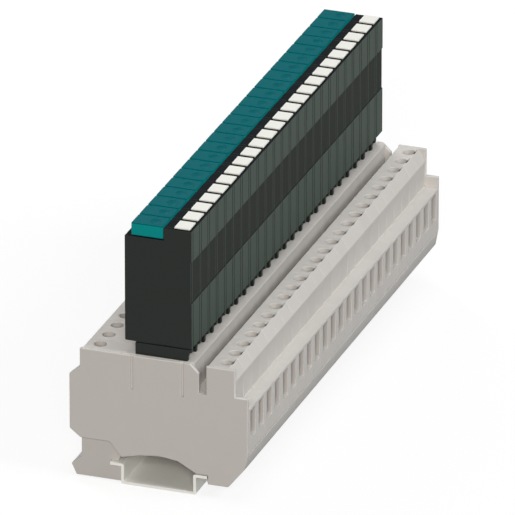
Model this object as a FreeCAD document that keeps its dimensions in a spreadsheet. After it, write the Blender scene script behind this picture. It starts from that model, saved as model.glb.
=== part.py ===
import FreeCAD
import Part
import Sketcher
import math
import os
import re

# A row of plug-in fuse terminals on a standard mounting rail.
# X runs across a terminal, Y along the rail, Z up. The rail's back lies at Z = 0.

# Driving sizes in millimetres. Each one becomes a named cell of the sheet.
SIZES = {
    # the row
    "ways": 24,
    "pitch": 8.2,
    "cover_thickness": 1.5,
    # mounting rail, a bent hat section
    "rail_width": 35,
    "rail_height": 7.5,
    "rail_channel": 25,
    "rail_sheet": 1,
    "rail_clearance": 0.2,
    # terminal housing, half widths from the middle of the rail
    "housing_half": 32.1,
    "ledge_top": 34,
    "shoulder_half": 27.5,
    "shoulder_top": 48.3,
    "shoulder_bevel_in": 2.5,
    "shoulder_bevel_drop": 4.3,
    "wall_foot": 18,
    "rim_inset": 1.1,
    "rim_foot": 12,
    "waist_inset": 3.8,
    "waist_foot": 15,
    # groove for bridges beside the plug
    "groove_start": 12.6,
    "groove_width": 5,
    "groove_floor": 38,
    # rail foot: a fixed T on the left, a hooked leg on the right
    "foot_lift": 0.3,
    "foot_flare": 3.7,
    "foot_tip_rise": 3.9,
    "foot_tip_round": 1.8,
    "foot_neck": 7.5,
    "leg_half": 25,
    "leg_foot": 4.5,
    "leg_hook": 0.7,
    "seat_half": 15,
    "bridge_lift": 3.7,
    # wire entry tunnel and screw shaft
    "entry_width": 5,
    "entry_height": 10,
    "entry_lintel": 1.3,
    "screw_half": 22.7,
    "shaft_radius": 2.15,
    # clamp sleeve and current bar
    "sleeve_length": 6,
    "sleeve_wall": 0.7,
    "fit_gap": 0.1,
    "bar_thickness": 1.2,
    "bar_end": 4,
    "contact_drop": 2.4,
    # plug-in module
    "plug_gap": 0.2,
    "plug_left": 12.5,
    "plug_right": 11.5,
    "plinth_half": 8.8,
    "plinth_height": 4.6,
    "side_plate": 1.7,
    "land_drop": 4.5,
    "plug_height": 47.9,
    "field_drop": 11.5,
    "field_height": 15,
    "field_depth": 0.3,
    "blade_half": 6.2,
    "blade_thickness": 0.8,
    "blade_width": 4.6,
    "blade_length": 11.5,
    "socket_half": 8.5,
    # reset button
    "cap_left": 10.2,
    "cap_right": 1.25,
    "cap_height": 4.7,
    "cap_inset": 0.3,
    "stem_inset": 2,
    "stem_width": 4.6,
    "stem_length": 6,
    "slide_gap": 0.2,
    # marker tag
    "tag_length": 5.55,
    "tag_width": 6,
    "tag_inset": 0.95,
    "tag_thickness": 0.6,
    # end cover
    "cover_step": 38.3,
    "cover_left_bevel": 3.5,
    "cover_arch": 12.3,
    "arch_shoulder": 7,
    "arch_ease": 0.9,
    "arch_left_drop": 2.5,
    "cover_slot_width": 2.6,
    "cover_slot_inset": 0.4,
    "cover_lead_in": 1.2,
    "cover_lead_drop": 3.1,
    "cover_line_width": 0.8,
    "cover_line_depth": 0.7,
    "cover_line_left": 9.6,
    "cover_line_right": 8.6,
    "cover_line_foot": 36,
}

SHAFT_SIDES = 8
AWAY_FROM_MIDDLE = 1

doc = FreeCAD.newDocument("fuse_terminal_block")
sheet = doc.addObject("Spreadsheet::Sheet", "Sizes")
for row, (alias, size) in enumerate(SIZES.items(), start=1):
    sheet.set(f"A{row}", alias)
    sheet.set(f"B{row}", str(size))
    sheet.setAlias(f"B{row}", alias)
doc.recompute()


def tied(rule):
    """A size rule in the sheet's terms: each word in it is a named cell."""
    return re.sub(r"[a-z]\w*", lambda word: "Sizes." + word.group(), str(rule))


def bind(thing, **rules):
    """Tie properties of an object to rules on the sheet."""
    for name, rule in rules.items():
        thing.setExpression(name.replace("__", "."), tied(rule))


def origin_plane(body, role):
    """One of a body's own origin planes."""
    return next(plane for plane in body.Origin.OriginFeatures if plane.Role == role)


def sketch_on(body, name, role, height="0"):
    """An empty sketch on an origin plane, raised along the plane's normal."""
    sketch = body.newObject("Sketcher::SketchObject", name)
    sketch.AttachmentSupport = [(origin_plane(body, role), "")]
    sketch.MapMode = "FlatFace"
    bind(sketch, AttachmentOffset__Base__z=height)
    return sketch


def draw_loop(sketch, corners):
    """A closed run of straight lines whose corners are rules on the sheet."""
    first = sketch.GeometryCount
    count = len(corners)
    around = [2 * math.pi * step / count for step in range(count + 1)]
    rough = [FreeCAD.Vector(math.cos(turn), -math.sin(turn), 0) for turn in around]
    for step in range(count):
        sketch.addGeometry(Part.LineSegment(rough[step], rough[step + 1]))
    for step, (across, up) in enumerate(corners):
        line = first + step
        following = first + (step + 1) % count
        sketch.addConstraint(Sketcher.Constraint("Coincident", line, 2, following, 1))
        for kind, rule in (("DistanceX", across), ("DistanceY", up)):
            index = sketch.addConstraint(Sketcher.Constraint(kind, -1, 1, line, 1, 1.0))
            sketch.setExpression(f"Constraints[{index}]", tied(rule))


def box_corners(left, right, low, high):
    """Four corners of an upright rectangle."""
    return [(left, high), (right, high), (right, low), (left, low)]


def extrude(body, kind, name, sketch, length, side="Symmetric"):
    """A pad or pocket of a sketch, with its length tied to the sheet."""
    feature = body.newObject("PartDesign::" + kind, name)
    feature.Profile = sketch
    feature.SideType = side
    bind(feature, Length=length)
    sketch.Visibility = False
    body.Tip = feature
    doc.recompute()
    return feature


def padded_body(name, corners, width, role="XZ_Plane"):
    """A body that starts as one profile, padded both ways from the middle."""
    body = doc.addObject("PartDesign::Body", name)
    sketch = sketch_on(body, name + "_outline", role)
    draw_loop(sketch, corners)
    extrude(body, "Pad", name + "_pad", sketch, width)
    return body


def pocket(body, name, role, loops, length, height="0", side="Symmetric"):
    """A pocket of one or more closed loops. It has to take some material away."""
    before = body.Shape.Volume
    sketch = sketch_on(body, name + "_outline", role, height)
    for corners in loops:
        draw_loop(sketch, corners)
    extrude(body, "Pocket", name, sketch, length, side)
    if body.Shape.Volume >= before:
        raise RuntimeError(name + " cuts nothing")


def regular_loop(centre, radius, sides):
    """Corners of a regular many-sided hole round a point on the X axis."""
    turns = [2 * math.pi * (step + 0.5) / sides for step in range(sides)]
    return [
        (f"{centre} + {radius} * {math.cos(turn):.6f}", f"{radius} * {-math.sin(turn):.6f}")
        for turn in turns
    ]


# Terminal housing
RAIL_EDGE = "(rail_width / 2 + rail_clearance)"
HOOK_TOP = "(rail_height - rail_sheet - rail_clearance)"
SEAT = "(rail_height + fit_gap)"
CHANNEL_WALL = "(rail_channel / 2 + rail_sheet)"
WAIST = "(housing_half - waist_inset)"
TIP_LEFT = f"({WAIST} + foot_flare)"
TIP_RIGHT = "(rail_channel / 2 + rail_sheet + rail_clearance)"
TIP_MIDDLE = "(foot_lift + foot_tip_rise)"
GROOVE_END = "(groove_start + groove_width)"

right_side = [
    ("groove_start", "shoulder_top"),
    ("groove_start", "groove_floor"),
    (GROOVE_END, "groove_floor"),
    (GROOVE_END, "shoulder_top"),
    ("shoulder_half - shoulder_bevel_in", "shoulder_top"),
    ("shoulder_half", "shoulder_top - shoulder_bevel_drop"),
    ("shoulder_half", "ledge_top"),
    ("housing_half", "ledge_top"),
    ("housing_half", "wall_foot"),
    ("housing_half - rim_inset", "rim_foot"),
]
right_leg = [
    ("leg_half", "leg_foot"),
    (f"{RAIL_EDGE} - leg_hook", "leg_foot"),
    (f"{RAIL_EDGE} - leg_hook", HOOK_TOP),
    (RAIL_EDGE, HOOK_TOP),
    (RAIL_EDGE, SEAT),
    ("seat_half", SEAT),
    (CHANNEL_WALL, f"{SEAT} + bridge_lift"),
]
left_foot = [
    (f"-{CHANNEL_WALL}", f"{SEAT} + bridge_lift"),
    ("-seat_half", SEAT),
    (f"-{RAIL_EDGE}", SEAT),
    (f"-{RAIL_EDGE}", HOOK_TOP),
    (f"-{TIP_RIGHT}", HOOK_TOP),
    (f"-{TIP_RIGHT}", "foot_lift"),
    (f"-{TIP_LEFT} + foot_tip_round", "foot_lift"),
    (f"-{TIP_LEFT}", TIP_MIDDLE),
    (f"-{WAIST}", "foot_neck"),
    (f"-{WAIST}", "waist_foot"),
]
left_side = [
    ("-housing_half", "wall_foot"),
    ("-housing_half", "ledge_top"),
    ("-shoulder_half", "ledge_top"),
    ("-shoulder_half", "shoulder_top"),
]
housing = padded_body("housing", right_side + right_leg + left_foot + left_side, "pitch")

ENTRY_TOP = "(ledge_top - entry_lintel)"
ENTRY_FOOT = "(ledge_top - entry_lintel - entry_height)"
OUTSIDE = f"(housing_half + {AWAY_FROM_MIDDLE})"
BAR_FOOT = f"({ENTRY_TOP} - fit_gap - bar_thickness)"
SOCKET_FLOOR = f"({BAR_FOOT} - fit_gap)"
entries = [
    box_corners("socket_half", OUTSIDE, ENTRY_FOOT, ENTRY_TOP),
    box_corners(f"-{OUTSIDE}", "-socket_half", ENTRY_FOOT, ENTRY_TOP),
]
pocket(housing, "wire_entries", "XZ_Plane", entries, "entry_width")
shafts = [
    regular_loop("screw_half", "shaft_radius", SHAFT_SIDES),
    regular_loop("-screw_half", "shaft_radius", SHAFT_SIDES),
]
pocket(
    housing, "screw_shafts", "XY_Plane", shafts,
    f"shoulder_top - {ENTRY_TOP}", "shoulder_top", "One side",
)
socket = box_corners("-socket_half", "socket_half", "-entry_width / 2", "entry_width / 2")
pocket(
    housing, "plug_socket", "XY_Plane", [socket],
    f"shoulder_top - {SOCKET_FLOOR}", "shoulder_top", "One side",
)

# Clamp sleeve: a cage open at the top, round the wire and the bar
SLEEVE_HALF = "(entry_width / 2 - fit_gap)"
SLEEVE_INNER = f"({SLEEVE_HALF} - sleeve_wall)"
SLEEVE_FOOT = f"({ENTRY_FOOT} + fit_gap)"
SLEEVE_TOP = f"({ENTRY_TOP} - fit_gap)"
sleeve_section = [
    (f"-{SLEEVE_HALF}", SLEEVE_TOP),
    (f"-{SLEEVE_INNER}", SLEEVE_TOP),
    (f"-{SLEEVE_INNER}", f"{SLEEVE_FOOT} + sleeve_wall"),
    (SLEEVE_INNER, f"{SLEEVE_FOOT} + sleeve_wall"),
    (SLEEVE_INNER, SLEEVE_TOP),
    (SLEEVE_HALF, SLEEVE_TOP),
    (SLEEVE_HALF, SLEEVE_FOOT),
    (f"-{SLEEVE_HALF}", SLEEVE_FOOT),
]
sleeve = padded_body("sleeve", sleeve_section, "sleeve_length", "YZ_Plane")
bind(sleeve, Placement__Base__x="screw_half")

# Current bar: bent strip from the clamp to the plug's blade
CONTACT_FACE = "(blade_half + blade_thickness / 2 + fit_gap)"
CONTACT_BACK = f"({CONTACT_FACE} + bar_thickness)"
bar_section = [
    (CONTACT_FACE, "shoulder_top - contact_drop"),
    (CONTACT_BACK, "shoulder_top - contact_drop"),
    (CONTACT_BACK, f"{BAR_FOOT} + bar_thickness"),
    ("screw_half + bar_end", f"{BAR_FOOT} + bar_thickness"),
    ("screw_half + bar_end", BAR_FOOT),
    (CONTACT_FACE, BAR_FOOT),
]
bar = padded_body("bar", bar_section, f"2 * {SLEEVE_INNER} - 2 * fit_gap")

# Plug-in module: case with a land for the button, a shallow label field and two blades.
# Its near side is a plate that reaches the full width down to the foot.
PLUG_FOOT = "(shoulder_top + fit_gap)"
PLUG_WIDTH = "(pitch - plug_gap)"
PLUG_TOP = f"({PLUG_FOOT} + plug_height)"
LAND = f"({PLUG_TOP} - land_drop)"
PLINTH_TOP = f"({PLUG_FOOT} + plinth_height)"
CAP_WALL = "(cap_right + slide_gap)"
case_section = [
    (CAP_WALL, PLUG_TOP),
    ("plug_right", PLUG_TOP),
    ("plug_right", PLUG_FOOT),
    ("-plinth_half", PLUG_FOOT),
    ("-plinth_half", PLINTH_TOP),
    ("-plug_left", PLINTH_TOP),
    ("-plug_left", LAND),
    (CAP_WALL, LAND),
]
case = padded_body("case", case_section, PLUG_WIDTH)
BESIDE_PLUG = f"(plug_right + {AWAY_FROM_MIDDLE})"
FIELD_TOP = f"({PLUG_TOP} - field_drop)"
field = box_corners("plug_right - field_depth", BESIDE_PLUG, f"{FIELD_TOP} - field_height", FIELD_TOP)
pocket(case, "label_field", "XZ_Plane", [field], f"{PLUG_WIDTH} + {AWAY_FROM_MIDDLE}")
notch = box_corners("plinth_half", BESIDE_PLUG, f"{PLUG_FOOT} - {AWAY_FROM_MIDDLE}", PLINTH_TOP)
pocket(case, "foot_notch", "XZ_Plane", [notch], PLUG_WIDTH, f"{PLUG_WIDTH} / 2 - side_plate", "One side")
STEM_LEFT = "(cap_left - stem_inset)"
STEM_RIGHT = "(cap_right - stem_inset)"
well = box_corners(
    f"-{STEM_LEFT} - slide_gap", f"{STEM_RIGHT} + slide_gap",
    "-stem_width / 2 - slide_gap", "stem_width / 2 + slide_gap",
)
pocket(case, "button_well", "XY_Plane", [well], "stem_length + slide_gap", LAND, "One side")

blades = []
for name, middle in (("blade_left", "-blade_half"), ("blade_right", "blade_half")):
    blade = doc.addObject("Part::Box", name)
    bind(
        blade, Length="blade_thickness", Width="blade_width", Height="blade_length",
        Placement__Base__x=f"{middle} - blade_thickness / 2",
        Placement__Base__y="-blade_width / 2",
        Placement__Base__z=f"{PLUG_FOOT} - blade_length",
    )
    blades.append(blade)

tag = doc.addObject("Part::Box", "tag")
bind(
    tag, Length="tag_length", Width="tag_width", Height="tag_thickness",
    Placement__Base__x="plug_right - tag_inset - tag_length",
    Placement__Base__y="-tag_width / 2",
    Placement__Base__z=PLUG_TOP,
)

# Reset button: a cap on a stem that slides in the plug's well
CAP_FOOT = f"({LAND} + slide_gap)"
CAP_TOP = f"({CAP_FOOT} + cap_height)"
cap_section = box_corners("-cap_left", "cap_right", CAP_FOOT, CAP_TOP)
button = padded_body("button", cap_section, f"{PLUG_WIDTH} - 2 * cap_inset")
stem_sketch = sketch_on(button, "stem_outline", "XZ_Plane")
draw_loop(stem_sketch, box_corners(f"-{STEM_LEFT}", STEM_RIGHT, f"{CAP_FOOT} - stem_length", CAP_FOOT))
extrude(button, "Pad", "stem_pad", stem_sketch, "stem_width")

# Mounting rail: hat section as long as the row with its covers
ROW_LENGTH = "(ways * pitch + 2 * cover_thickness)"
CHANNEL = "(rail_channel / 2)"
LIP = "(rail_width / 2)"
rail_section = [
    (f"-{LIP}", "rail_height"),
    (f"-{CHANNEL}", "rail_height"),
    (f"-{CHANNEL}", "rail_sheet"),
    (CHANNEL, "rail_sheet"),
    (CHANNEL, "rail_height"),
    (LIP, "rail_height"),
    (LIP, "rail_height - rail_sheet"),
    (CHANNEL_WALL, "rail_height - rail_sheet"),
    (CHANNEL_WALL, "0"),
    (f"-{CHANNEL_WALL}", "0"),
    (f"-{CHANNEL_WALL}", "rail_height - rail_sheet"),
    (f"-{LIP}", "rail_height - rail_sheet"),
]
rail = padded_body("mounting_rail", rail_section, ROW_LENGTH)

# End cover: a plain plate with two moulded lines, the same at both ends
SLOT_END = f"({GROOVE_END} - cover_slot_inset)"
SLOT_START = f"({SLOT_END} - cover_slot_width)"
cover_outline = [
    (f"-{WAIST}", "shoulder_top"),
    ("groove_start - cover_lead_in", "shoulder_top"),
    (SLOT_START, "shoulder_top - cover_lead_drop"),
    (SLOT_START, "groove_floor"),
    (SLOT_END, "groove_floor"),
    (SLOT_END, "shoulder_top"),
    ("shoulder_half", "shoulder_top"),
    ("shoulder_half", "cover_step"),
    ("housing_half", "cover_step"),
    ("housing_half", "wall_foot"),
    ("housing_half - rim_inset", "rim_foot"),
    ("leg_half", "leg_foot"),
    (RAIL_EDGE, "leg_foot"),
    (RAIL_EDGE, f"{SEAT} + rail_clearance"),
    (CHANNEL_WALL, f"{SEAT} + rail_clearance"),
    ("arch_shoulder", "cover_arch - arch_ease"),
    ("0", "cover_arch"),
    ("-arch_shoulder", "cover_arch - arch_ease"),
    (f"-{CHANNEL_WALL}", "cover_arch - arch_left_drop"),
    (f"-{RAIL_EDGE}", "waist_foot"),
    (f"-{WAIST}", "waist_foot"),
    ("-housing_half", "wall_foot"),
    ("-housing_half", "cover_step"),
    (f"-{WAIST}", "cover_step + cover_left_bevel"),
]
cover_lines = [
    box_corners(f"{middle} - cover_line_width / 2", f"{middle} + cover_line_width / 2",
                "cover_line_foot", f"shoulder_top + {AWAY_FROM_MIDDLE}")
    for middle in ("-cover_line_left", "cover_line_right")
]
COVER_MIDDLE = "(ways * pitch + cover_thickness) / 2"
covers = {}
for name, sign in (("end_cover_front", "-"), ("end_cover_rear", "")):
    cover = padded_body(name, cover_outline, "cover_thickness")
    face = "cover_thickness / 2" if sign else "-cover_thickness / 2"
    sketch = sketch_on(cover, name + "_lines_outline", "XZ_Plane", face)
    for corners in cover_lines:
        draw_loop(sketch, corners)
    before = cover.Shape.Volume
    lines = extrude(cover, "Pocket", name + "_lines", sketch, "cover_line_depth", "One side")
    lines.Reversed = not sign
    doc.recompute()
    if cover.Shape.Volume >= before:
        raise RuntimeError(name + " lines cut nothing")
    bind(cover, Placement__Base__y=f"{sign}{COVER_MIDDLE}")
    covers[name] = cover


# The row: every way repeats the same pieces one pitch further along the rail
def placed(name, pieces, way):
    """The pieces of one way, moved to its place along the rail."""
    group = doc.addObject("Part::Compound", name)
    group.Links = pieces
    bind(group, Placement__Base__y=f"({way} - (ways - 1) / 2) * pitch")
    return group


def mirrored(piece):
    """The same piece on the other side of the rail."""
    twin = doc.addObject("Part::Mirroring", piece.Name + "_twin")
    twin.Source = piece
    twin.Normal = FreeCAD.Vector(1, 0, 0)
    return twin


def row_of(name, pieces):
    """One node that holds the pieces of all ways as separate solids."""
    group = doc.addObject("Part::Compound", name)
    group.Links = [placed(f"{name}_way_{way + 1:02d}", pieces, way) for way in range(ways)]
    return group


ways = int(sheet.get("ways"))
nodes = [rail, *covers.values()]
nodes.append(row_of("terminal_housings", [housing]))
nodes.append(row_of("clamp_sleeves", [sleeve, mirrored(sleeve)]))
nodes.append(row_of("current_bars", [bar, mirrored(bar)]))
for way in range(ways):
    nodes.append(placed(f"plug_{way + 1:02d}", [case, *blades, tag], way))
    nodes.append(placed(f"reset_button_{way + 1:02d}", [button], way))
doc.recompute()

# Nothing is written unless every object came out whole
for thing in doc.Objects:
    if {"Invalid", "Error"} & set(thing.State):
        raise RuntimeError(f"{thing.Label} failed: {thing.State}")
for node in nodes:
    if node.Shape.isNull() or not node.Shape.isValid() or not node.Shape.Solids:
        raise RuntimeError(f"{node.Label} has no valid solid")

os.makedirs("parts", exist_ok=True)
for node in nodes:
    node.Shape.exportStep(f"parts/{node.Label}.step")
print(len(nodes), "nodes,", sum(len(node.Shape.Solids) for node in nodes), "solids")
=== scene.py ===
# %% [markdown]
# # A row of plug-in fuse terminals on a rail
# The object is a row of grey terminal housings clipped side by side on a hat-shaped rail. A tall black
# plug-in module stands in each housing, with a teal reset button and a white marker tag on top.
# The solid model gives every piece its place and size. Here each piece gets what the eye expects of
# moulded plastic and bent metal: soft edges, fine seams, screws and finishes.

import math

import bmesh
import bpy
from mathutils import Matrix, Vector


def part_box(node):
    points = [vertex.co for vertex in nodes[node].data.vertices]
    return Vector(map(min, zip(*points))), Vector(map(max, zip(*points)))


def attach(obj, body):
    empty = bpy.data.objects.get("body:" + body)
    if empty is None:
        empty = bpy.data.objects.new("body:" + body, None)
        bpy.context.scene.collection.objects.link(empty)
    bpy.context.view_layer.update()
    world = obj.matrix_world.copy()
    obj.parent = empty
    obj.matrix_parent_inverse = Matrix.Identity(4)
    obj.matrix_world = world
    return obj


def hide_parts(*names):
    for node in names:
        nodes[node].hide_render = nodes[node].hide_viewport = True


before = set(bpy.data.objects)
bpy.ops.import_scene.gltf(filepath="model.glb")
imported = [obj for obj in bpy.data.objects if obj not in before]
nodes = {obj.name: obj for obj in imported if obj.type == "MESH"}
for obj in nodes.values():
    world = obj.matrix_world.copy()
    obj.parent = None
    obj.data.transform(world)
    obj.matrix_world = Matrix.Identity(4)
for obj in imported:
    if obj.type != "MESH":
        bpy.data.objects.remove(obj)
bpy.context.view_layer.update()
scene = bpy.context.scene
MM = 0.001

# %% [markdown]
# ## Measure the row
# The solid model knows how many ways there are and how far apart they stand, so nothing is typed twice:
# the pitch is the step from one plug to the next, and the first way is the one nearest to the camera.

# %% Count the ways and find the pitch
numbers = sorted(name.removeprefix("plug_") for name in nodes if name.startswith("plug_"))
way_count = len(numbers)
plug_low, plug_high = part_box(f"plug_{numbers[0]}")
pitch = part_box(f"plug_{numbers[1]}")[0].y - plug_low.y
first_y = (plug_low.y + plug_high.y) / 2
housing_low, housing_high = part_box("terminal_housings")
print(way_count, "ways", round(pitch / MM, 3), "mm apart, the first at y", round(first_y / MM, 2))

# %% [markdown]
# ## Small helpers for node trees
# Colours are written the way a picture editor shows them, as sRGB hex, but shaders work with linear
# light, so one function converts them. The others add a node, set it and link it in one line, which
# keeps every material short enough to read as a recipe.

# %% Colour and node helpers
def linear(hex_colour):
    """A linear RGBA colour from an sRGB hex value."""
    parts = [int(hex_colour[place:place + 2], 16) / 255 for place in (1, 3, 5)]
    light = [part / 12.92 if part <= 0.04045 else ((part + 0.055) / 1.055) ** 2.4 for part in parts]
    return light + [1.0]


def add(tree, kind, inputs=None, **settings):
    """Add a node, apply its settings, then fill or link its inputs."""
    node = tree.nodes.new(kind)
    for name, value in settings.items():
        setattr(node, name, value)
    for key, value in (inputs or {}).items():
        if isinstance(value, bpy.types.NodeSocket):
            tree.links.new(value, node.inputs[key])
        else:
            node.inputs[key].default_value = value
    return node


def calculate(tree, operation, *values):
    """The result of a sum on numbers or sockets."""
    return add(tree, "ShaderNodeMath", dict(enumerate(values)), operation=operation).outputs[0]


def mix_colours(tree, share, first, second):
    """A colour between two sRGB hex values. A mix node takes its colours at inputs 6 and 7."""
    node = add(tree, "ShaderNodeMix", {0: share, 6: linear(first), 7: linear(second)}, data_type="RGBA")
    return node.outputs[2]


def per_metre(size_mm):
    """The texture scale at which one feature is about this many millimetres across."""
    return 1 / (size_mm * MM)


def begin_material(name):
    """An empty material with its tree and the object coordinates that patterns are laid on."""
    material = bpy.data.materials.new(name)
    material.use_nodes = True
    material.node_tree.nodes.clear()
    coordinates = add(material.node_tree, "ShaderNodeTexCoord").outputs["Object"]
    return material, material.node_tree, coordinates


print("helpers ready, mid grey is", [round(part, 3) for part in linear("#808080")])

# %% [markdown]
# ## Grey polyamide for the housings
# Terminal housings are injection moulded in glass-free polyamide. It is matt, slightly warm and never
# quite even: each housing cools a little differently, so neighbours differ by a shade, and the tool was
# spark eroded, which leaves a fine grain that breaks up reflections.

# %% Moulded polyamide
CLOUD_MM, ERODED_MM = 9, 0.35
GRAIN_DEPTH = 0.02 * MM


def noise(tree, coordinates, size_mm, detail):
    """A soft random pattern whose features are about this many millimetres across."""
    inputs = {"Vector": coordinates, "Scale": per_metre(size_mm), "Detail": detail}
    return add(tree, "ShaderNodeTexNoise", inputs).outputs["Fac"]


def grained_surface(tree, shade, grain, rough, bump, ior, reflection):
    """End a plastic's tree: the grain moves its gloss between two values and raises small bumps."""
    gloss = add(tree, "ShaderNodeMapRange", {"Value": grain, "To Min": rough[0], "To Max": rough[1]})
    relief = add(tree, "ShaderNodeBump", {"Height": grain, "Strength": bump, "Distance": GRAIN_DEPTH})
    shader = add(tree, "ShaderNodeBsdfPrincipled", {
        "Base Color": shade, "Roughness": gloss.outputs["Result"], "IOR": ior,
        "Specular IOR Level": reflection, "Normal": relief.outputs["Normal"]})
    add(tree, "ShaderNodeOutputMaterial", {"Surface": shader.outputs["BSDF"]})


def moulded_polyamide_grey():
    """Matt pale grey with a fine eroded grain and a slight change of shade from housing to housing."""
    material, tree, coordinates = begin_material("moulded_polyamide_grey")
    # The way a point belongs to is its place along the rail divided by the pitch.
    along = add(tree, "ShaderNodeSeparateXYZ", {"Vector": coordinates}).outputs["Y"]
    way = calculate(tree, "FLOOR", calculate(tree, "MULTIPLY", along, 1 / pitch))
    batch = add(tree, "ShaderNodeTexWhiteNoise", {"W": way}, noise_dimensions="1D").outputs["Value"]
    cloud = noise(tree, coordinates, CLOUD_MM, 2.0)
    share = calculate(tree, "MULTIPLY", calculate(tree, "ADD", batch, cloud), 0.5)
    shade = mix_colours(tree, share, "#C5C1BD", "#CCC8C4")
    grain = noise(tree, coordinates, ERODED_MM, 3.0)
    grained_surface(tree, shade, grain, rough=(0.50, 0.62), bump=0.25, ior=1.53, reflection=0.3)
    return material


polyamide = moulded_polyamide_grey()
print("made", polyamide.name)

# %% [markdown]
# ## Black, teal and white plastics of the modules
# The module case is black with a trace of green. Its broad sides are smooth and look nearly black. The
# narrow walls, which stay in view when modules stand side by side, get a lighter grey copy of the black, a
# painted sheen, and the top gets a darker copy, a painted shade. The label field is a finer black, darker
# than the walls. The button is teal, dull on top, and its upright sides get a lighter teal, a painted
# highlight. The tag is a matt white that takes print. All share one recipe and differ in colour, gloss and
# grain.

# %% Module plastics
def moulded_plastic(name, dark, light, rough, grain_mm, reflection):
    """A moulded plastic between two close shades, whose gloss wanders with a grain of this size."""
    material, tree, coordinates = begin_material(name)
    grain = noise(tree, coordinates, grain_mm, 3.0)
    shade = mix_colours(tree, grain, dark, light)
    grained_surface(tree, shade, grain, rough, bump=0.2, ior=1.5, reflection=reflection)
    return material


# Smooth black: nearly black, with a faint sheen where light slants off it.
case_black = moulded_plastic("moulded_case_black", "#1C211E", "#202522",
    rough=(0.36, 0.44), grain_mm=0.5, reflection=0.20)
# Walls: a lighter, dark green grey copy of the black, a painted sheen, with a rougher gloss.
painted_sheen_black = moulded_plastic("painted_sheen_wall_black", "#3E4942", "#454F49",
    rough=(0.60, 0.72), grain_mm=0.4, reflection=0.15)
# Fine eroded black: the darker, even band that takes a label.
field_black = moulded_plastic("fine_field_black", "#242723", "#282B27",
    rough=(0.74, 0.84), grain_mm=0.4, reflection=0.12)
# Top: a darker copy of the black, a painted shade, with a dull gloss that shows no sheen next to the button.
painted_shade_black = moulded_plastic("painted_shade_top_black", "#0E1216", "#12161A",
    rough=(0.80, 0.90), grain_mm=0.4, reflection=0.05)
# Eroded teal: the button's top, dull and dark so that a fingertip does not slip.
button_teal = moulded_plastic("moulded_button_teal", "#005A61", "#006067",
    rough=(0.60, 0.70), grain_mm=0.6, reflection=0.04)
# Button sides: a lighter, brighter copy of the teal, a painted highlight, with a smoother gloss where they
# slide in the case.
painted_highlight_teal = moulded_plastic("painted_highlight_button_teal", "#008A88", "#00908E",
    rough=(0.40, 0.48), grain_mm=0.6, reflection=0.12)
# Matt white: bright and chalky, so that print keeps on it.
tag_white = moulded_plastic("matt_tag_white", "#E0E0D9", "#E6E6E0",
    rough=(0.55, 0.65), grain_mm=0.4, reflection=0.4)
for plastic in (case_black, painted_sheen_black, field_black, painted_shade_black, button_teal, painted_highlight_teal, tag_white):
    print("made", plastic.name)

# %% [markdown]
# ## Metals
# The rail is strip steel, rolled and then zinc plated: the rolls leave faint streaks along it. Clamps
# and screws are zinc plated small parts with a cloudy lustre, and the current bars and blades are tin
# plated copper, a little warmer. The rail is painted nearly white and is only a fifth metal: this is painted
# light that brightens its shaded channel under the housings. Only colour, roughness, the share of bare
# metal and the shape of the pattern differ, so one recipe takes them as inputs.

# %% Plated metals
def plated_metal(name, dark, light, rough, pattern_mm, bare=1.0):
    """A plated metal whose tone and gloss vary with a pattern of this size across X, Y and Z."""
    material, tree, coordinates = begin_material(name)
    spread = add(tree, "ShaderNodeMapping", {
        "Vector": coordinates, "Scale": [per_metre(size) for size in pattern_mm]})
    pattern = add(tree, "ShaderNodeTexNoise", {
        "Vector": spread.outputs["Vector"], "Scale": 1.0, "Detail": 3.0})
    shade = mix_colours(tree, pattern.outputs["Fac"], dark, light)
    gloss = add(tree, "ShaderNodeMapRange", {
        "Value": pattern.outputs["Fac"], "To Min": rough[0], "To Max": rough[1]})
    shader = add(tree, "ShaderNodeBsdfPrincipled", {
        "Base Color": shade, "Roughness": gloss.outputs["Result"], "Metallic": bare})
    add(tree, "ShaderNodeOutputMaterial", {"Surface": shader.outputs["BSDF"]})
    return material


# Rolled zinc strip, painted nearly white and mostly matt as painted light for its shaded channel, with fine
# streaks that run along the rail.
painted_light_zinc = plated_metal("painted_light_zinc_strip", "#EFEFE9", "#F5F5F0",
    rough=(0.42, 0.56), pattern_mm=(0.5, 40, 0.5), bare=0.2)
# Barrel plated small parts: a cloudy bright grey.
clamp_zinc = plated_metal("barrel_zinc_steel", "#B4B4B0", "#C6C6C2",
    rough=(0.32, 0.48), pattern_mm=(0.8, 0.8, 0.8))
# Tin plated copper: softer and a little warmer.
bar_tin = plated_metal("tin_plated_copper", "#BDB5A6", "#CEC6B8",
    rough=(0.30, 0.45), pattern_mm=(1.2, 1.2, 1.2))
for metal in (painted_light_zinc, clamp_zinc, bar_tin):
    print("made", metal.name)

# %% [markdown]
# ## Taking pieces out of the solid model
# A node's mesh is loose triangles, so a copy is welded before it can be worked on, and flat stretches
# are joined into single faces so that edges can be rounded cleanly. A module's node holds several
# solids that only touch, and walking from face to face over shared edges finds them again.

# %% Weld a copy and split it into solids
WELD, HAIR = 0.001 * MM, 0.01 * MM
FLAT = math.radians(1)


def welded(node, keep=None):
    """A welded copy of a node's mesh, of the faces that keep() accepts, with flat stretches joined."""
    shell = bmesh.new()
    shell.from_mesh(nodes[node].data)
    shell.normal_update()
    if keep:
        bmesh.ops.delete(shell, geom=[face for face in shell.faces if not keep(face)], context="FACES")
    bmesh.ops.remove_doubles(shell, verts=shell.verts, dist=WELD)
    bmesh.ops.dissolve_limit(shell, angle_limit=FLAT, verts=shell.verts, edges=shell.edges)
    return shell


def as_mesh(name, shell):
    """Turn a bmesh into a mesh and free it."""
    mesh = bpy.data.meshes.new(name)
    shell.to_mesh(mesh)
    shell.free()
    return mesh


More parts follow.
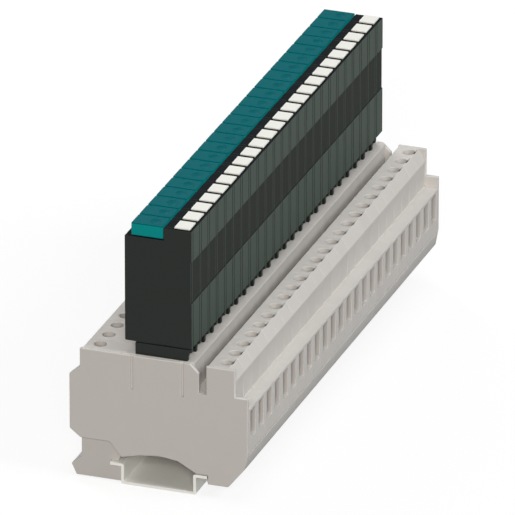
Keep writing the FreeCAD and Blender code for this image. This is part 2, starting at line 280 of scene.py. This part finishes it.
def split_solids(shell):
    """The separate solids of a welded copy, each as a mesh."""
    left, found = set(shell.faces), []
    while left:
        front, group = [left.pop()], []
        while front:
            face = front.pop()
            group.append(face)
            near = {other for edge in face.edges for other in edge.link_faces} & left
            left -= near
            front.extend(near)
        solid = bmesh.new()
        used = {vert for face in group for vert in face.verts}
        corners = {vert: solid.verts.new(vert.co) for vert in used}
        for face in group:
            solid.faces.new([corners[vert] for vert in face.verts])
        found.append(as_mesh("solid", solid))
    shell.free()
    return found


solids = split_solids(welded(f"plug_{numbers[0]}"))
print("a module's node holds", len(solids), "solids")

# %% [markdown]
# ## Simple shapes to cut with
# Seams, recesses and round holes are cut with blocks, rods and balls, as a toolmaker would add them to
# the mould. A cutter reaches a little past what it cuts, so that no thin skin is left.

# %% Blocks, rods and balls
OVER = 1.0 * MM


def block(low, high):
    """A mesh of a box between two corners, given in metres."""
    shell = bmesh.new()
    middle, size = (Vector(low) + Vector(high)) / 2, Vector(high) - Vector(low)
    place = Matrix.Translation(middle) @ Matrix.Diagonal(size).to_4x4()
    bmesh.ops.create_cube(shell, size=1.0, matrix=place)
    return as_mesh("block", shell)


def rod(x, y, radius, bottom, top, sides=32):
    """A mesh of an upright rod."""
    shell = bmesh.new()
    bmesh.ops.create_cone(shell, cap_ends=True, segments=sides, radius1=radius, radius2=radius,
                          depth=top - bottom, matrix=Matrix.Translation((x, y, (top + bottom) / 2)))
    return as_mesh("rod", shell)


def ball(centre, radius):
    """A mesh of a ball."""
    shell = bmesh.new()
    bmesh.ops.create_uvsphere(shell, u_segments=32, v_segments=24, radius=radius,
                              matrix=Matrix.Translation(centre))
    return as_mesh("ball", shell)


print("cutters reach", OVER / MM, "mm past what they cut")

# %% [markdown]
# ## Cutting and adding
# The cuts are Boolean modifiers on a helper object. What they leave is kept as a new mesh, and the helper
# objects are removed again, so that only finished pieces stay in the scene.

# %% Cutting and adding with modifiers
def shown(name, data):
    """An object of this mesh, lamp or camera, linked to the scene."""
    piece = bpy.data.objects.new(name, data)
    scene.collection.objects.link(piece)
    return piece


def after_modifiers(piece):
    """A new mesh of what an object's modifiers make of it."""
    ready = piece.evaluated_get(bpy.context.evaluated_depsgraph_get())
    return bpy.data.meshes.new_from_object(ready)


def evaluated_mesh(worker):
    """The mesh that an object has after its modifiers. The object is removed."""
    mesh = after_modifiers(worker)
    bpy.data.objects.remove(worker)
    return mesh


def worked(mesh, tools, operation="DIFFERENCE"):
    """The mesh without what the tools cover, or with them added."""
    worker = shown("worker", mesh)
    holders = [shown("tool", tool) for tool in tools]
    for holder in holders:
        step = worker.modifiers.new("step", "BOOLEAN")
        step.object, step.operation, step.solver = holder, operation, "EXACT"
    result = evaluated_mesh(worker)
    for holder in holders:
        bpy.data.objects.remove(holder)
    return result


print("ready to cut and add")

# %% [markdown]
# ## Rounding and shading
# Every outward edge gets a small radius. No moulded edge is truly sharp, and it is these thin bright lines
# that let neighbouring pieces of one colour read as separate parts. Then the parts of a piece are joined,
# each with the number of its finish on its faces, and shaded so that flat faces stay flat.

# %% Rounding and joining
BEVELLED_FROM, SHARP_FROM = math.radians(30), math.radians(50)


def rounded(mesh, radius, steps=2, chosen=None):
    """Round the outward edges of a mesh, or those of them that chosen() accepts."""
    shell = bmesh.new()
    shell.from_mesh(mesh)
    bmesh.ops.remove_doubles(shell, verts=shell.verts, dist=WELD)
    bmesh.ops.dissolve_limit(shell, angle_limit=FLAT, verts=shell.verts, edges=shell.edges)
    edges = [edge for edge in shell.edges if edge.is_manifold and edge.is_convex
             and edge.calc_face_angle() > BEVELLED_FROM and (chosen is None or chosen(edge))]
    bmesh.ops.bevel(shell, geom=edges, offset=radius, offset_type="OFFSET", segments=steps,
                    profile=0.5, affect="EDGES", clamp_overlap=False)
    return as_mesh("rounded", shell)


def joined(name, parts):
    """One mesh of several, each with the number of its finish on its faces, shaded smooth."""
    shell = bmesh.new()
    finish = shell.faces.layers.int.new("finish")
    for mesh, number in parts:
        before = len(shell.faces)
        shell.from_mesh(mesh)
        shell.faces.ensure_lookup_table()
        for face in shell.faces[before:]:
            face[finish] = number
    mesh = as_mesh(name, shell)
    mesh.shade_smooth()
    mesh.set_sharp_from_angle(angle=SHARP_FROM)
    worker = shown(name, mesh)
    worker.modifiers.new("flat faces stay flat", "WEIGHTED_NORMAL").keep_sharp = True
    return evaluated_mesh(worker)


print("ready to round and join")

# %% [markdown]
# ## How a repeating tree starts and ends
# Everything here comes in equal steps, so Geometry Nodes trees do the repeating. They all start with some
# inputs and a source piece, and end the same way: a copy on each point, real geometry, and a material on
# the faces of each finish.

# %% The start and the end of a tree
OBJECT, WHOLE, LENGTH = "NodeSocketObject", "NodeSocketInt", "NodeSocketFloat"


def new_tree(name, inputs):
    """A tree with these inputs, the identifiers to set them by, and the sockets to link from."""
    tree = bpy.data.node_groups.new(name, "GeometryNodeTree")
    sockets = {title: tree.interface.new_socket(title, in_out="INPUT", socket_type=kind).identifier
               for title, kind in inputs.items()}
    tree.interface.new_socket("Geometry", in_out="OUTPUT", socket_type="NodeSocketGeometry")
    return tree, sockets, add(tree, "NodeGroupInput").outputs


def finish_tree(tree, copied, finishes):
    """End a tree: copies made as these inputs say, each finish's material on its marked faces."""
    copies = add(tree, "GeometryNodeInstanceOnPoints", copied).outputs["Instances"]
    solid = add(tree, "GeometryNodeRealizeInstances", {"Geometry": copies}).outputs[0]
    mark = add(tree, "GeometryNodeInputNamedAttribute", {"Name": "finish"}, data_type="INT")
    for number, material in enumerate(finishes):
        marked = add(tree, "FunctionNodeCompare", {2: mark.outputs["Attribute"], 3: number},
                     data_type="INT", operation="EQUAL")
        solid = add(tree, "GeometryNodeSetMaterial", {
            "Geometry": solid, "Selection": marked.outputs["Result"], "Material": material}).outputs[0]
    add(tree, "NodeGroupOutput", {"Geometry": solid})


print("a tree takes inputs of the kinds", [OBJECT, WHOLE, LENGTH])

# %% [markdown]
# ## Repeating a piece along the rail
# The first tree sets copies on a line of points one pitch apart. It makes a whole row from a count of 24,
# or one module at its own way from a count of 1. Once a tree has grown a piece, the result is kept as a
# plain mesh.

# %% The tree that repeats a piece
def pitch_tree(name, finishes):
    """A tree that puts copies of a source piece along the rail and gives each finish its faces."""
    tree, sockets, given = new_tree(name, {
        "Source": OBJECT, "Count": WHOLE, "Pitch": LENGTH, "First way": WHOLE})
    start = calculate(tree, "MULTIPLY", given["First way"], given["Pitch"])
    place = add(tree, "ShaderNodeCombineXYZ", {"Y": start}).outputs[0]
    step = add(tree, "ShaderNodeCombineXYZ", {"Y": given["Pitch"]}).outputs[0]
    line = add(tree, "GeometryNodeMeshLine", {
        "Count": given["Count"], "Start Location": place, "Offset": step}, mode="OFFSET")
    source = add(tree, "GeometryNodeObjectInfo", {"Object": given["Source"]})
    finish_tree(tree, {"Points": line.outputs["Mesh"], "Instance": source.outputs["Geometry"]}, finishes)
    return tree, sockets


def grown(name, tree, sockets, values):
    """A piece grown by a tree from these values, turned into a plain mesh."""
    piece = shown(name, bpy.data.meshes.new(name))
    maker = piece.modifiers.new("maker", "NODES")
    maker.node_group = tree
    for title, value in values.items():
        maker[sockets[title]] = value
    mesh = after_modifiers(piece)
    piece.modifiers.clear()
    piece.data = mesh
    mesh.name = name
    return piece


print("the repeating tree is ready")

# %% [markdown]
# ## The terminal housings
# One housing is taken from the solid model's row. Its screw shafts become round, a shallow recess for a
# label strip is cut along both upper walls, a fine line is cut along the foot of the right wall, and its
# edges are rounded. Neighbours stand face to face, so the rounded edges make the fine lines that divide
# the row.

# %% One housing, dressed
SHAFT_X, SHAFT_RADIUS, SHAFT_FOOT = 22.7 * MM, 2.18 * MM, 32.3 * MM
RECESS_LOW, RECESS_HIGH, RECESS_DEPTH = 34.4 * MM, 42.4 * MM, 0.35 * MM
UPPER_WALL = 27.5 * MM
FOOT_LINE_LOW, FOOT_LINE_HIGH, FOOT_LINE_X = 16.9 * MM, 17.6 * MM, 31.5 * MM
HOUSING_EDGE = 0.2 * MM
first_end = housing_low.y + pitch


def in_first_housing(face):
    """True for the faces of the housing nearest to the camera."""
    middle = face.calc_center_median()
    on_far_side = abs(middle.y - first_end) < HAIR and face.normal.y < 0
    return middle.y < first_end + HAIR and not on_far_side


housing = as_mesh("housing", welded("terminal_housings", in_first_housing))
near_y, far_y = housing_low.y - OVER, first_end + OVER
cutters = []
for side in (-1, 1):
    cutters.append(rod(side * SHAFT_X, first_y, SHAFT_RADIUS, SHAFT_FOOT, housing_high.z + OVER))
    inner, outer = sorted((side * (UPPER_WALL - RECESS_DEPTH), side * (UPPER_WALL + OVER)))
    cutters.append(block((inner, near_y, RECESS_LOW), (outer, far_y, RECESS_HIGH)))
cutters.append(block((FOOT_LINE_X, near_y, FOOT_LINE_LOW), (housing_high.x + OVER, far_y, FOOT_LINE_HIGH)))
housing = joined("housing", [(rounded(worked(housing, cutters), HOUSING_EDGE), 0)])
print("one housing:", len(housing.polygons), "faces")

# %% [markdown]
# The dressed housing is then repeated at every way. The housings never move against each other, so the
# row is one piece.

# %% The row of housings
tree, sockets = pitch_tree("row of housings", [polyamide])
source = shown("housing source", housing)
housing_row = grown("housing_row", tree, sockets, {
    "Source": source, "Count": way_count, "Pitch": pitch, "First way": 0})
bpy.data.objects.remove(source)
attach(housing_row, "row")
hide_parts("terminal_housings")
print("housings:", len(housing_row.data.polygons), "faces")

# %% [markdown]
# ## The end covers
# A plain plate closes each end of the row. Its outline stands a little proud of the housings. It only
# needs its edges rounded, so the plate of the solid model is copied and finished.

# %% Both end covers
COVER_EDGE = 0.3 * MM
for name, node in (("front_cover", "end_cover_front"), ("rear_cover", "end_cover_rear")):
    plate = rounded(as_mesh(name, welded(node)), COVER_EDGE)
    cover = shown(name, joined(name, [(plate, 0)]))
    cover.data.materials.append(polyamide)
    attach(cover, "row")
    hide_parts(node)
    print(name, len(cover.data.polygons), "faces")

# %% [markdown]
# ## The mounting rail
# The rail is strip steel bent into a hat. Bending leaves a radius of about the sheet's thickness, which
# draws a soft line of light along each bend, while the cut edges stay sharp. So only the bends are
# rounded, not the lips.

# %% The rail with its bends
LIP_X, BEND_EDGE, BEND_STEPS = 16.5 * MM, 0.7 * MM, 3


def is_bend(edge):
    """True for the long edges at the bends, not for the lips or the cut ends."""
    first, second = (vert.co for vert in edge.verts)
    along = abs(first.x - second.x) < HAIR and abs(first.z - second.z) < HAIR
    return along and abs(first.x) < LIP_X


bent = rounded(as_mesh("rail", welded("mounting_rail")), BEND_EDGE, BEND_STEPS, is_bend)
rail = shown("hat_rail", joined("hat_rail", [(bent, 0)]))
rail.data.materials.append(painted_light_zinc)
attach(rail, "row")
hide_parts("mounting_rail")
print("rail:", len(rail.data.polygons), "faces")

# %% [markdown]
# ## The clamp screws
# A slotted screw sits deep in each shaft and draws the clamp together: a round head with a slot, and a
# plain shank. Each screw has few faces because there are 48 of them.

# %% One slotted screw
HEAD_RADIUS, HEAD_LOW, HEAD_HIGH = 1.85 * MM, 41.4 * MM, 43.2 * MM
SHANK_RADIUS, SHANK_LOW = 1.2 * MM, 33.0 * MM
SLOT_HALF, SLOT_DEPTH, SLOT_REACH = 0.3 * MM, 0.8 * MM, 3 * MM
HEAD_EDGE, HEAD_SIDES, SHANK_SIDES = 0.12 * MM, 20, 12
SHANK_IN_HEAD = 0.2 * MM
head = rod(0, 0, HEAD_RADIUS, HEAD_LOW, HEAD_HIGH, HEAD_SIDES)
slot_cut = block((-SLOT_REACH, -SLOT_HALF, HEAD_HIGH - SLOT_DEPTH),
                 (SLOT_REACH, SLOT_HALF, HEAD_HIGH + OVER))
head = rounded(worked(head, [slot_cut]), HEAD_EDGE, 1)
shank = rod(0, 0, SHANK_RADIUS, SHANK_LOW, HEAD_LOW + SHANK_IN_HEAD, SHANK_SIDES)
screw = joined("screw", [(head, 0), (shank, 0)])
print("one screw:", len(screw.polygons), "faces")

# %% [markdown]
# Fitters leave the slots at any angle, so a second tree puts a screw on both sides of each way and turns
# it by a random angle with a fixed seed.

# %% Screws in the shafts
SCREW_SEED = 7


def screw_tree(name):
    """A tree that sets two rows of screws along the rail, each screw at an angle of its own."""
    tree, sockets, given = new_tree(name, {
        "Source": OBJECT, "Count": WHOLE, "Pitch": LENGTH, "First Y": LENGTH, "Side": LENGTH, "Seed": WHOLE})
    step = add(tree, "ShaderNodeCombineXYZ", {"Y": given["Pitch"]}).outputs[0]
    both = add(tree, "GeometryNodeJoinGeometry")
    for side in (given["Side"], calculate(tree, "MULTIPLY", given["Side"], -1.0)):
        start = add(tree, "ShaderNodeCombineXYZ", {"X": side, "Y": given["First Y"]}).outputs[0]
        line = add(tree, "GeometryNodeMeshLine", {
            "Count": given["Count"], "Start Location": start, "Offset": step}, mode="OFFSET")
        tree.links.new(line.outputs["Mesh"], both.inputs["Geometry"])
    turn = add(tree, "FunctionNodeRandomValue", {2: 0.0, 3: math.pi, "Seed": given["Seed"]},
               data_type="FLOAT")
    angle = add(tree, "ShaderNodeCombineXYZ", {"Z": turn.outputs[1]}).outputs[0]
    source = add(tree, "GeometryNodeObjectInfo", {"Object": given["Source"]})
    finish_tree(tree, {
        "Points": both.outputs["Geometry"], "Instance": source.outputs["Geometry"], "Rotation": angle},
        [clamp_zinc])
    return tree, sockets


tree, sockets = screw_tree("rows of screws")
source = shown("screw source", screw)
screws = grown("clamp_screws", tree, sockets, {
    "Source": source, "Count": way_count, "Pitch": pitch, "First Y": first_y, "Side": SHAFT_X,
    "Seed": SCREW_SEED})
bpy.data.objects.remove(source)
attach(screws, "row")
print("screws:", len(screws.data.polygons), "faces")

# %% [markdown]
# ## Clamps and current bars
# The wire cages and bars lie deep inside and are right as the solid model has them, so these nodes stay
# and only get their metals.

# %% Metals for the inner nodes
for node, metal in (("clamp_sleeves", clamp_zinc), ("current_bars", bar_tin)):
    for place in nodes[node].material_slots:
        place.material = metal
    print(node, "is", metal.name)

# %% [markdown]
# ## The plug-in modules
# A module's node holds a tall case with a shallow field for a label on its right wall, two blades under
# it and a marker tag on top. Their heights tell them apart: the case is the tallest solid, the tag is the
# highest of the others, and the blades are what is left.

# %% The solids of one module
heights = {mesh: [vert.co.z for vert in mesh.vertices] for mesh in solids}
case = max(solids, key=lambda mesh: max(heights[mesh]) - min(heights[mesh]))
tag = max((mesh for mesh in solids if mesh is not case), key=lambda mesh: min(heights[mesh]))
blades = [mesh for mesh in solids if mesh not in (case, tag)]
case_x = [vert.co.x for vert in case.vertices]
case_left, case_right = min(case_x), max(case_x)
case_foot, case_top = min(heights[case]), max(heights[case])
print("case", round((case_top - case_foot) / MM, 2), "mm high, with", len(blades), "blades")

# %% [markdown]
# The case is made of a body and a side plate, so a fine seam runs round it where they meet. Its right side
# ends a little above the housing, and a line across the near broad side sets off a low plinth. A spacer rib
# on the far broad side closes the gap to the next module.

# %% The case with its seams
PLATE, SEAM_HALF, SEAM_DEPTH = 1.7 * MM, 0.12 * MM, 0.36 * MM
FOOT_LIFT, FOOT_INSET = 3.2 * MM, 1.4 * MM
PLINTH_UP, PLINTH_HALF, PLINTH_DEPTH = 4.5 * MM, 0.2 * MM, 0.45 * MM
RIB_HALF, RIB_LIFT, RIB_END = 1.0 * MM, 0.15 * MM, 6.0 * MM
CASE_EDGE, CASE_STEPS = 0.26 * MM, 3
past_left, past_right = case_left - OVER, case_right + OVER
past_foot, past_top = case_foot - OVER, case_top + OVER
seam_y, plinth_z = plug_low.y + PLATE, case_foot + PLINTH_UP
cutters = [block((low_x, seam_y - SEAM_HALF, low_z), (high_x, seam_y + SEAM_HALF, past_top))
           for low_x, high_x, low_z in ((case_right - SEAM_DEPTH, past_right, past_foot),
                                        (past_left, case_left + SEAM_DEPTH, past_foot),
                                        (past_left, past_right, case_top - SEAM_DEPTH))]
cutters.append(block((case_right - FOOT_INSET, plug_low.y - OVER, past_foot),
                     (past_right, plug_high.y + OVER, case_foot + FOOT_LIFT)))
cutters.append(block((past_left, plug_low.y - OVER, plinth_z - PLINTH_HALF),
                     (past_right, plug_low.y + PLINTH_DEPTH, plinth_z + PLINTH_HALF)))
case = rounded(worked(case, cutters), CASE_EDGE, CASE_STEPS)
rib = block((-RIB_HALF, plug_high.y - OVER, case_foot + RIB_END),
            (RIB_HALF, plug_high.y + RIB_LIFT, case_top - RIB_END))
case = worked(case, [rib], "UNION")
print("the dressed case:", len(case.polygons), "faces")

# %% [markdown]
# The direction that a face looks in tells its finish: walls to the left and right get the lighter black of
# the painted sheen, the top gets the darker black of the painted shade, and the label field is the wall that
# lies a little behind the case's right side. The foot below the right side's end gets no painted sheen and
# stays smooth black all round.

# %% The module's parts in one source
FIELD_BACK, FACING = 0.3 * MM, 0.8
SMALLEST_FIELD = MM * MM  # a label field's face is larger than this
TAG_EDGE, BLADE_EDGE = 0.15 * MM, 0.12 * MM
CASE, SHEEN_WALL, FIELD, SHADED_TOP, BLADE, TAG = range(6)
parts = [(case, CASE), (rounded(tag, TAG_EDGE), TAG)]
parts += [(rounded(blade, BLADE_EDGE, 1), BLADE) for blade in blades]
module = joined("module", parts)
marks = module.attributes["finish"].data
# Upright walls get the lighter black of the painted sheen, upward faces the darker black of the painted
# shade.
for face, mark in zip(module.polygons, marks):
    if mark.value != CASE or face.center.z < case_foot + FOOT_LIFT:
        continue
    set_back = abs(face.center.x - (case_right - FIELD_BACK)) < 2 * HAIR
    if abs(face.normal.x) > FACING:
        in_field = set_back and face.area > SMALLEST_FIELD and face.normal.x > 0
        mark.value = FIELD if in_field else SHEEN_WALL
    elif face.normal.z > FACING:
        mark.value = SHADED_TOP
for title, number in (("case", CASE), ("wall", SHEEN_WALL), ("field", FIELD), ("top", SHADED_TOP)):
    print("faces with the finish of the", title, sum(mark.value == number for mark in marks))

# %% [markdown]
# The repeating tree sets a copy of the module at every way. Each copy is a piece of its own, because every
# module can be pulled by itself.

# %% Modules at every way
tree, sockets = pitch_tree("module at its way", [
    case_black, painted_sheen_black, field_black, painted_shade_black, bar_tin, tag_white])
source = shown("module source", module)
for way, number in enumerate(numbers):
    piece = grown(f"plug_in_module_{number}", tree, sockets, {
        "Source": source, "Count": 1, "Pitch": pitch, "First way": way})
    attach(piece, f"module_{number}")
    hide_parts(f"plug_{number}")
bpy.data.objects.remove(source)
print(way_count, "modules, the last is", piece.name)

# %% [markdown]
# ## The reset buttons
# A teal button sits in the case's land. It is a plain cap with soft edges and a round dip for a
# fingertip, on a stem that slides in the case. Its upright sides get a lighter teal, a painted highlight,
# with a smoother gloss, and everything else is the dull teal.

# %% One button, dressed
DIP_X, DIP_RADIUS, DIP_DEPTH = -2.6 * MM, 1.9 * MM, 0.55 * MM
UPRIGHT = 0.1
CAP_EDGE, CAP_STEPS = 0.35 * MM, 3
CAP_TOP, LIT_CAP_SIDE = range(2)
button_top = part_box(f"reset_button_{numbers[0]}")[1].z
ball_radius = (DIP_RADIUS ** 2 + DIP_DEPTH ** 2) / (2 * DIP_DEPTH)
dip = ball((DIP_X, first_y, button_top - DIP_DEPTH + ball_radius), ball_radius)
cap = worked(as_mesh("cap", welded(f"reset_button_{numbers[0]}")), [dip])
cap = joined("cap", [(rounded(cap, CAP_EDGE, CAP_STEPS), CAP_TOP)])
# Upright faces take the lighter teal of the painted highlight.
for face, mark in zip(cap.polygons, cap.attributes["finish"].data):
    if abs(face.normal.z) < UPRIGHT:
        mark.value = LIT_CAP_SIDE
print("one button:", len(cap.polygons), "faces")

# %% [markdown]
# Every button can travel by itself as well, so each way gets its own.

# %% Buttons at every way
tree, sockets = pitch_tree("button at its way", [button_teal, painted_highlight_teal])
source = shown("button source", cap)
for way, number in enumerate(numbers):
    piece = grown(f"button_cap_{number}", tree, sockets, {
        "Source": source, "Count": 1, "Pitch": pitch, "First way": way})
    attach(piece, f"button_{number}")
    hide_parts(f"reset_button_{number}")
bpy.data.objects.remove(source)
print(way_count, "buttons, the last is", piece.name)

# %% [markdown]
# ## White floor
# The row stands on plain white. For the camera, and for what the plastics and metals mirror, the floor is
# simply white with a faint shadow under the rail. For all other light it is a grey board, which throws
# little light back.

# %% The floor
SHADOW_SHARE, BOARD_GLOW = 0.2, 1.04
FLOOR_HALF, FLOOR_DROP = 6.0, 0.05 * MM


def seen_directly(tree):
    """1 for rays from the camera and for mirrored or transmitted ones, else 0."""
    path = add(tree, "ShaderNodeLightPath").outputs
    seen = path["Is Camera Ray"]
    for kind in ("Is Glossy Ray", "Is Transmission Ray"):
        seen = calculate(tree, "MAXIMUM", seen, path[kind])
    return seen


def white_board():
    """Matt board that looks white to the camera, takes a faint shadow and throws little light back."""
    material, tree, _ = begin_material("matt_white_board")
    seen = seen_directly(tree)
    board = add(tree, "ShaderNodeBsdfDiffuse", {
        "Color": mix_colours(tree, seen, "#808080", "#F2F2F2")})
    glow = add(tree, "ShaderNodeEmission", {"Color": linear("#FFFFFF"), "Strength": BOARD_GLOW})
    share = calculate(tree, "MULTIPLY", seen, 1 - SHADOW_SHARE)
    mixed = add(tree, "ShaderNodeMixShader", {0: share, 1: board.outputs[0], 2: glow.outputs[0]})
    add(tree, "ShaderNodeOutputMaterial", {"Surface": mixed.outputs[0]})
    return material


floor_mesh = bpy.data.meshes.new("floor")
corners = [(x * FLOOR_HALF, y * FLOOR_HALF, 0) for x, y in ((-1, -1), (1, -1), (1, 1), (-1, 1))]
floor_mesh.from_pydata(corners, [], [(0, 1, 2, 3)])
floor = shown("floor", floor_mesh)
floor.data.materials.append(white_board())
floor.location.z = -FLOOR_DROP
print("floor", 2 * FLOOR_HALF, "m wide")

# %% [markdown]
# ## Soft world
# The world follows the same rule: white to the camera and in reflections, and dim for all other light, so
# that the soft boxes and not the surroundings shape the row.

# %% The world
AMBIENT = 0.15
world = bpy.data.worlds.new("soft studio")
scene.world = world
world.use_nodes = True
sky = world.node_tree
sky.nodes.clear()
soft = add(sky, "ShaderNodeBackground", {"Color": linear("#FFFFFF"), "Strength": AMBIENT})
white = add(sky, "ShaderNodeBackground", {"Color": linear("#FFFFFF"), "Strength": 1.0})
both = add(sky, "ShaderNodeMixShader", {
    0: seen_directly(sky), 1: soft.outputs[0], 2: white.outputs[0]})
add(sky, "ShaderNodeOutputWorld", {"Surface": both.outputs[0]})
print("ambient light", AMBIENT)

# %% [markdown]
# ## Lamps
# Four soft boxes share the work. One overhead lights both shoulders past the tall modules, and one on the
# right lights the walls on that side. A front box close to the camera's direction lights what the camera
# sees, down into the holes, with hardly a shadow, and one at the back left lights the tops and the far
# sides. Each level is the share of full white that a surface facing the box gets, so their sum on any
# surface can be worked out, and nothing clips.

# %% Soft boxes
LAMP_AIM = Vector((0, 0, 40 * MM))
COOL, WARM, NEUTRAL = "#FAFEFF", "#FFFAF4", "#FFFFFF"


def soft_box(name, direction, distance, size, level, colour):
    """A square soft box that gives a white surface facing it this share of white."""
    lamp = bpy.data.lights.new(name, "AREA")
    lamp.size, lamp.color = size, linear(colour)[:3]
    lamp.energy = level * math.pi ** 2 * distance ** 2
    holder = shown(name, lamp)
    toward = Vector(direction).normalized()
    holder.location = LAMP_AIM + toward * distance
    holder.rotation_euler = (-toward).to_track_quat("-Z", "Y").to_euler()
    print(name, "box", round(lamp.energy, 1), "W")


soft_box("top", (0.05, 0.0, 1.0), distance=2.0, size=0.8, level=0.20, colour=COOL)
soft_box("right", (0.75, -0.05, 0.66), distance=2.0, size=0.8, level=0.46, colour=COOL)
soft_box("front", (0.28, -0.86, 0.42), distance=4.0, size=1.2, level=0.60, colour=WARM)
soft_box("back", (-0.62, 0.62, 0.48), distance=2.0, size=0.8, level=0.38, colour=NEUTRAL)

# %% [markdown]
# ## Camera
# The row is seen from the right and above through a very long lens, so lines along the rail stay almost
# parallel. The angles, the distance and the lens were fitted to points of known size on the object.

# %% Camera at the viewing angle
AZIMUTH, ELEVATION = math.radians(19.634), math.radians(24.041)
AIM, DISTANCE = Vector((0, 0, 44.06 * MM)), 4.2079
LENS, SENSOR = 853.4, 36.0
camera_data = bpy.data.cameras.new("camera")
camera_data.lens, camera_data.sensor_width = LENS, SENSOR
camera = shown("camera", camera_data)
away = Vector((math.cos(ELEVATION) * math.sin(AZIMUTH), -math.cos(ELEVATION) * math.cos(AZIMUTH),
               math.sin(ELEVATION)))
camera.location = AIM + away * DISTANCE
camera.rotation_euler = (-away).to_track_quat("-Z", "Y").to_euler()
scene.camera = camera
scene.view_settings.view_transform = "Standard"
print("camera at", [round(part, 3) for part in camera.location])
